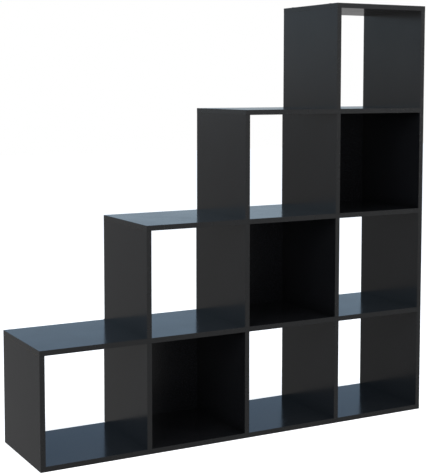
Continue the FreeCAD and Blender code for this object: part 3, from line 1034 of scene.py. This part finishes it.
# %% Galvanised sheet, moulded plastic and beech
CRYSTALS_PER_METRE = 160.0
CRYSTAL_GREYS = (rgba(0.50, 0.52, 0.55), rgba(0.68, 0.70, 0.72))
WHITE_BLOOM = rgba(0.60, 0.60, 0.58)
GALVANISED_RUBBED = rgba(0.82, 0.83, 0.84)
PLASTIC_BLACKS = (rgba(0.016, 0.016, 0.017), rgba(0.022, 0.022, 0.023))
PLASTIC_RUBBED = grey(0.06)
BEECH_BROWNS = (rgba(0.46, 0.28, 0.15), rgba(0.62, 0.42, 0.25))
BEECH_DARKER = rgba(0.42, 0.25, 0.13)
BEECH_RAY = rgba(0.3, 0.16, 0.08)


def galvanised_sheet():
    """Zinc-coated sheet: flat crystals of slightly different greys, and a little white bloom."""
    tree, material = finish("galvanised_sheet", Metallic=1.0)
    cells = {"Vector": object_place(tree), "Scale": CRYSTALS_PER_METRE}
    tint = parts(tree, node(tree, "ShaderNodeTexVoronoi", cells).outputs["Color"])
    bloom = ranged(tree, noise(tree, 70.0, 5.0, 0.7), 0.58, 0.72, 0.0, 0.5)
    colour = mixed(tree, bloom, mixed(tree, tint[0], *CRYSTAL_GREYS), WHITE_BLOOM)
    colour = mixed(tree, worn(tree, 0.4 * MM, 0.8, 200.0), colour, GALVANISED_RUBBED)
    roughness = plus(tree, ranged(tree, tint[1], 0.0, 1.0, 0.26, 0.42), times(tree, bloom, 0.5))
    normal = bumped(tree, noise(tree, 900.0, 3.0), 0.01 * MM)
    return finished(material, colour, roughness, normal)


def moulded_plastic():
    tree, material = finish("moulded_plastic", IOR=1.46)
    spark = noise(tree, 2600.0, 2.0, 0.6)
    dust = grouped(tree, settled_dust, Amount=0.08, Patches_per_metre=40.0)[0]
    colour = mixed(tree, attribute(tree, "tone"), *PLASTIC_BLACKS)
    colour = mixed(tree, worn(tree, 0.3 * MM, 0.4, 400.0), colour, PLASTIC_RUBBED)
    colour = mixed(tree, dust, colour, DUST)
    roughness = ranged(tree, spark, *MIDDLE, 0.34, 0.5)
    return finished(material, colour, roughness, bumped(tree, spark, 0.02 * MM))


def beech():
    """Turned beech: pink-brown, with fine growth rings and the short dark flecks of the rays."""
    tree, material = finish("beech", IOR=1.5)
    own = attribute(tree, "own_place", "Vector")
    rings = noise(tree, 1300.0, 3.0, 0.6, stretched(tree, own, (1.0, 0.25, 0.06)))
    rays = noise(tree, 3200.0, 1.0, place=stretched(tree, own, (1.0, 1.0, 0.3)))
    colour = mixed(tree, ranged(tree, rings, *MIDDLE), *BEECH_BROWNS)
    colour = mixed(tree, times(tree, attribute(tree, "tone"), 0.3), colour, BEECH_DARKER)
    colour = mixed(tree, ranged(tree, rays, 0.62, 0.7, 0.0, 0.6), colour, BEECH_RAY)
    roughness = ranged(tree, rings, 0.0, 1.0, 0.5, 0.7)
    return finished(material, colour, roughness, bumped(tree, rings, 0.04 * MM))


finishes["galvanised"] = galvanised_sheet()
finishes["plastic"] = moulded_plastic()
finishes["beech"] = beech()
dress(["wall_bracket_left", "wall_bracket_right"], finishes["galvanised"])

# %% [markdown]
# ## Cam locks
# A cam lock is a little zinc drum in a round pocket. A bolt enters it through a slot in its side, and
# half a turn of the cross in its face pulls the bolt home. A small arrow in the face points to the bolt
# when it is open. Here the drum is turned on the lathe tool; the hollow, the slot, the cross and the
# arrow are cut out of it.

# %% Model and place the cam locks
CLEAR = 1 * MM
QUARTERS = (0.0, math.pi / 2)
CAM_SWING = math.radians(9)
CAM = millimetres(
    Radius=7.5, Rim=0.35, Cross_Length=8.0, Cross_Width=1.5, Cross_Depth=2.2,
    Hollow_Radius=5.0, Hollow_Top=-4.1, Slot_Width=5.0,
    Arrow_Size=1.1, Arrow_Place=5.7, Arrow_Depth=0.5,
)
CAM["Depth"] = cam_boxes[0][1].x - cam_boxes[0][0].x


def cam_lock_tree():
    """A drum with its face up and its slot along Y. Every cutter stands clear of the face."""
    tree, given, result = fitting_tree("cam_lock", CAM)
    radius, top, core = given["Radius"], given["Hollow Top"], given["Hollow Radius"]
    shoulder, bottom, floor = (below(tree, given[label]) for label in ("Rim", "Depth", "Cross Depth"))
    blank = [(minus(tree, radius, given["Rim"]), 0.0), (radius, shoulder), (radius, bottom)]
    under, reach = minus(tree, bottom, CLEAR), plus(tree, radius, CLEAR)
    hollow = lathe(tree, SIDES["cam hollow"], [(core, top), (core, under)])
    slot = bar(tree, given["Slot Width"], reach, under, top, offset=times(tree, reach, 0.5))
    width, length = given["Cross Width"], given["Cross Length"]
    cross = [bar(tree, width, length, floor, CLEAR, angle) for angle in QUARTERS]
    arrow = [(given["Arrow Size"], CLEAR), (given["Arrow Size"], below(tree, given["Arrow Depth"]))]
    arrow = lathe(tree, SIDES["cam arrow"], arrow)
    arrow = moved(tree, arrow, combined(tree, y=given["Arrow Place"]), (0, 0, math.pi / 2))
    drum = carved(tree, lathe(tree, SIDES["cam"], blank), hollow, slot, *cross, arrow)
    return scatter(tree, drum, given, result)


places = []
for box in cam_boxes:
    place = outer_place(box, RIGHT)
    bolt_below = place.z % PITCH < PITCH / 2
    places.append((place, RIGHT, DOWN if bolt_below else UP))
made = ("cam_lock_drums", cam_lock_tree(), places, CAM, finishes["zinc"], "zinc_cam")
make_fittings(*made, ["cam_locks"], seed=3, swing=CAM_SWING)

# %% [markdown]
# ## Screws
# Three kinds of screw hold the rest: long frame screws with a hexagon socket, small countersunk screws in
# the back panels, and pan-head screws in the wall brackets. They differ only in their sizes and in the
# recess, so one function builds the tree, once with a cross and once with a socket, and named sizes make
# the three kinds. The thread is a real helix: a thin diamond swept along a spiral.

# %% Model a screw
TIP_RADIUS = 0.3 * MM
FRAME_SCREW = millimetres(
    Crown_Radius=4.7, Crown=0.0, Head_Radius=5.0, Rim=0.6, Taper=3.4, Shank_Radius=3.5, Shank=15.7,
    Core_Radius=2.5, Thread_Radius=3.45, Pitch=3.0, Length=49.7, Point=4.0,
    Recess_Length=4.0, Recess_Width=4.0, Recess_Depth=3.0,
)
PANEL_SCREW = millimetres(
    Crown_Radius=2.85, Crown=0.0, Head_Radius=3.0, Rim=0.1, Taper=1.6, Shank_Radius=1.5, Shank=6.0,
    Core_Radius=1.0, Thread_Radius=1.48, Pitch=1.35, Length=20.0, Point=2.0,
    Recess_Length=3.4, Recess_Width=0.7, Recess_Depth=1.1,
)
PAN_SCREW = millimetres(
    Crown_Radius=2.2, Crown=1.3, Head_Radius=4.0, Rim=0.9, Taper=0.01, Shank_Radius=2.0, Shank=2.9,
    Core_Radius=1.4, Thread_Radius=1.95, Pitch=1.8, Length=13.9, Point=2.0,
    Recess_Length=4.0, Recess_Width=0.8, Recess_Depth=1.4,
)


def screw_tree(name, recess):
    """A screw along Z with its head up: crown, rim and taper, then shank, core, thread and point."""
    tree, given, result = fitting_tree(name, FRAME_SCREW)
    crown, head = given["Crown"], given["Head Radius"]
    shank, core = given["Shank Radius"], given["Core Radius"]
    rim_end, shank_end, tip = (below(tree, given[label]) for label in ("Rim", "Shank", "Length"))
    taper_end, point = minus(tree, rim_end, given["Taper"]), plus(tree, tip, given["Point"])
    blank = [(given["Crown Radius"], crown), (head, 0.0), (head, rim_end), (shank, taper_end)]
    blank += [(shank, shank_end), (core, shank_end), (core, point), (TIP_RADIUS, tip)]
    over, floor = plus(tree, crown, CLEAR), minus(tree, crown, given["Recess Depth"])
    length, width = given["Recess Length"], given["Recess Width"]
    if recess == "cross":
        cutters = [bar(tree, width, length, floor, over, angle) for angle in QUARTERS]
    else:
        cutters = [hexagon(tree, length, over, floor)]
    body = carved(tree, lathe(tree, SIDES["screw"], blank), *cutters)
    return scatter(tree, joined(tree, body, helix_thread(tree, given, shank_end, point)), given, result)


cross_screw, socket_screw = screw_tree("cross_screw", "cross"), screw_tree("socket_screw", "socket")
print("screw trees:", cross_screw.name, socket_screw.name)

# %% Place the frame screws, the back panels' screws and the brackets' screws
FRAME_SCREW_GROUPS = (
    (11, "base", DOWN, BACKWARD, ANY_WAY),
    (12, "top", UP, BACKWARD, 0.0),
    (13, "side", RIGHT, UP, 0.0),
)
black_steel = (finishes["blackened"], "black_screw")
for seed, kind, aim, second, swing in FRAME_SCREW_GROUPS:
    solids = [kind + "_screws"]
    places = outer_places(solids, aim, second)
    made = (kind + "_frame_screws", socket_screw, places, FRAME_SCREW, *black_steel)
    make_fittings(*made, solids, seed, swing)

solids = [f"back_panel_{step}_screws" for step in (1, 2, 3)]
places = outer_places(solids, BACKWARD, UP)
make_fittings("panel_screws", cross_screw, places, PANEL_SCREW, *black_steel, solids, 21, ANY_WAY)

solids = ["bracket_screws"]
places = outer_places(solids, UP, BACKWARD, PAN_SCREW["Crown"])
make_fittings("bracket_pan_screws", cross_screw, places, PAN_SCREW, *black_steel, solids, 31, ANY_WAY)

# %% [markdown]
# ## Connecting bolts
# A bolt's head sits in the hollow of its cam, and its neck in the slot. Where a board ends a step the
# bolt is screwed into it from below; where an upright stands on another one, the bolt passes through the
# shelf between them and has a head at both ends. Both begin with the same outline, so one function makes
# them: the second head is the outline of the first one, mirrored.

# %% Model and place the bolts
BOLT = millimetres(
    Head_Radius=3.5, Head=3.0, Chamfer=0.5, Neck_Radius=2.3, Neck=4.329, Shank_Radius=3.1, Shank=23.629,
    Core_Radius=2.3, Thread_Radius=3.0, Pitch=2.5, Point=0.8,
)


def bolt_tree(name, double):
    """A bolt along Z with a head up. Its other end is a second head, or a thread with a blunt point."""
    tree, given, result = fitting_tree(name, ["Length", *BOLT])
    head, neck, shank, core = (given[label + " Radius"] for label in ("Head", "Neck", "Shank", "Core"))
    chamfer, head_end = below(tree, given["Chamfer"]), below(tree, given["Head"])
    shank_end, tip = below(tree, given["Shank"]), below(tree, given["Length"])
    neck_end = minus(tree, head_end, given["Neck"])
    upper = [(minus(tree, head, given["Chamfer"]), 0.0), (head, chamfer), (head, head_end)]
    upper += [(neck, head_end), (neck, neck_end), (shank, neck_end)]
    if double:
        lower = [(radius, minus(tree, tip, height)) for radius, height in reversed(upper)]
        return scatter(tree, lathe(tree, SIDES["bolt"], upper + lower), given, result)
    point = plus(tree, tip, given["Point"])
    lower = [(shank, shank_end), (core, shank_end), (core, point)]
    lower.append((minus(tree, core, given["Point"]), tip))
    body, thread = lathe(tree, SIDES["bolt"], upper + lower), helix_thread(tree, given, shank_end, point)
    return scatter(tree, joined(tree, body, thread), given, result)


for seed, kind, aim in ((61, "step_bolts", DOWN), (62, "through_bolts", UP)):
    low, high = solids_in(kind)[0]
    sizes = {**BOLT, "Length": high.z - low.z}
    name = ("threaded_" if kind == "step_bolts" else "double_headed_") + kind
    tree = bolt_tree("bolt_for_" + kind, kind == "through_bolts")
    made = (name, tree, outer_places([kind], aim, BACKWARD), sizes, finishes["plated"], "bright_bolt")
    make_fittings(*made, [kind], seed, ANY_WAY)

# %% [markdown]
# ## Cover caps
# Where a frame screw would show, a black plastic cap hides it. It is a shallow dome with a soft rim, and
# a small hexagonal peg pushes into the socket of the screw. A flattened ball would be too round on top, so
# the dome is turned on the lathe tool: nearly flat on top, round at the rim and upright at the foot.

# %% Model and place the caps
CAP = millimetres(Radius=6.5, Height=1.2, Peg_Flats=3.7, Peg_Length=2.8)
DOME = ((0.12, 1.0), (0.5, 0.985), (0.78, 0.93), (0.9, 0.82), (0.97, 0.62), (1.0, 0.36), (1.0, 0.0))


def cap_tree():
    tree, given, result = fitting_tree("cover_cap", CAP)
    radius, height = given["Radius"], given["Height"]
    dome = [(times(tree, radius, across), times(tree, height, up)) for across, up in DOME]
    peg = hexagon(tree, given["Peg Flats"], times(tree, height, 0.5), below(tree, given["Peg Length"]))
    return scatter(tree, joined(tree, lathe(tree, SIDES["cap"], dome), peg), given, result)


places = []
for box in solids_in("screw_caps"):
    aim, second = (UP, BACKWARD) if box[1].z > HEIGHT else (RIGHT, UP)
    places.append((outer_place(box, aim) - Vector(aim) * CAP["Height"], aim, second))
made = ("cover_caps", cap_tree(), places, CAP, finishes["plastic"], "black_cap")
make_fittings(*made, ["screw_caps"], seed=41)

# %% [markdown]
# ## Dowels
# Beech dowels line the boards up before the cams pull them together. Flutes along the sides let air and
# glue out, and the ends are chamfered to find their holes. The lathe turns the peg, and a cosine around
# it presses the flutes.

# %% Model and place the dowels
FLUTES = 16.0
FLUTE_SHARE = 0.07
DOWEL = millimetres(Radius=4.0, Chamfer=1.0)


def dowel_tree():
    tree, given, result = fitting_tree("fluted_dowel", ["Length", "Flutes", "Flute Share", *DOWEL])
    radius, half = given["Radius"], times(tree, given["Length"], 0.5)
    slim, straight = minus(tree, radius, given["Chamfer"]), minus(tree, half, given["Chamfer"])
    peg = [(slim, half), (radius, straight), (radius, below(tree, straight)), (slim, below(tree, half))]
    x, y, z = parts(tree, position(tree))
    wave = maths(tree, "COSINE", times(tree, maths(tree, "ARCTAN2", y, x), given["Flutes"]))
    press = times(tree, maths(tree, "MULTIPLY_ADD", wave, 0.5, 0.5), given["Flute Share"])
    keep = minus(tree, 1.0, press)
    place = combined(tree, times(tree, x, keep), times(tree, y, keep), z)
    pressed = {"Geometry": lathe(tree, SIDES["dowel"], peg), "Position": place}
    peg = node(tree, "GeometryNodeSetPosition", pressed).outputs[0]
    return scatter(tree, peg, given, result)


dowels = dowel_tree()
for seed, kind in ((51, "short_dowels"), (52, "long_dowels")):
    boxes = solids_in(kind)
    places = []
    for low, high in boxes:
        upright = high.z - low.z > high.x - low.x
        places.append(((low + high) / 2, UP if upright else RIGHT, BACKWARD))
    length = max(boxes[0][1] - boxes[0][0])
    sizes = {**DOWEL, "Length": length, "Flutes": FLUTES, "Flute Share": FLUTE_SHARE}
    made = ("fluted_" + kind, dowels, places, sizes, finishes["beech"], "beech_dowel")
    make_fittings(*made, [kind], seed, ANY_WAY)

# %% [markdown]
# ## Handing over
# Looks must not change the size of a thing. The box around everything is measured again and kept beside
# the box of the construction, so that the two can be compared.

# %% Measure the dressed size
visual_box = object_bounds()
boxes = {"construction": [list(corner) for corner in cad_box], "visual": [list(corner) for corner in visual_box]}
print("visual size in metres:", [round(c, 4) for c in visual_box[1] - visual_box[0]])
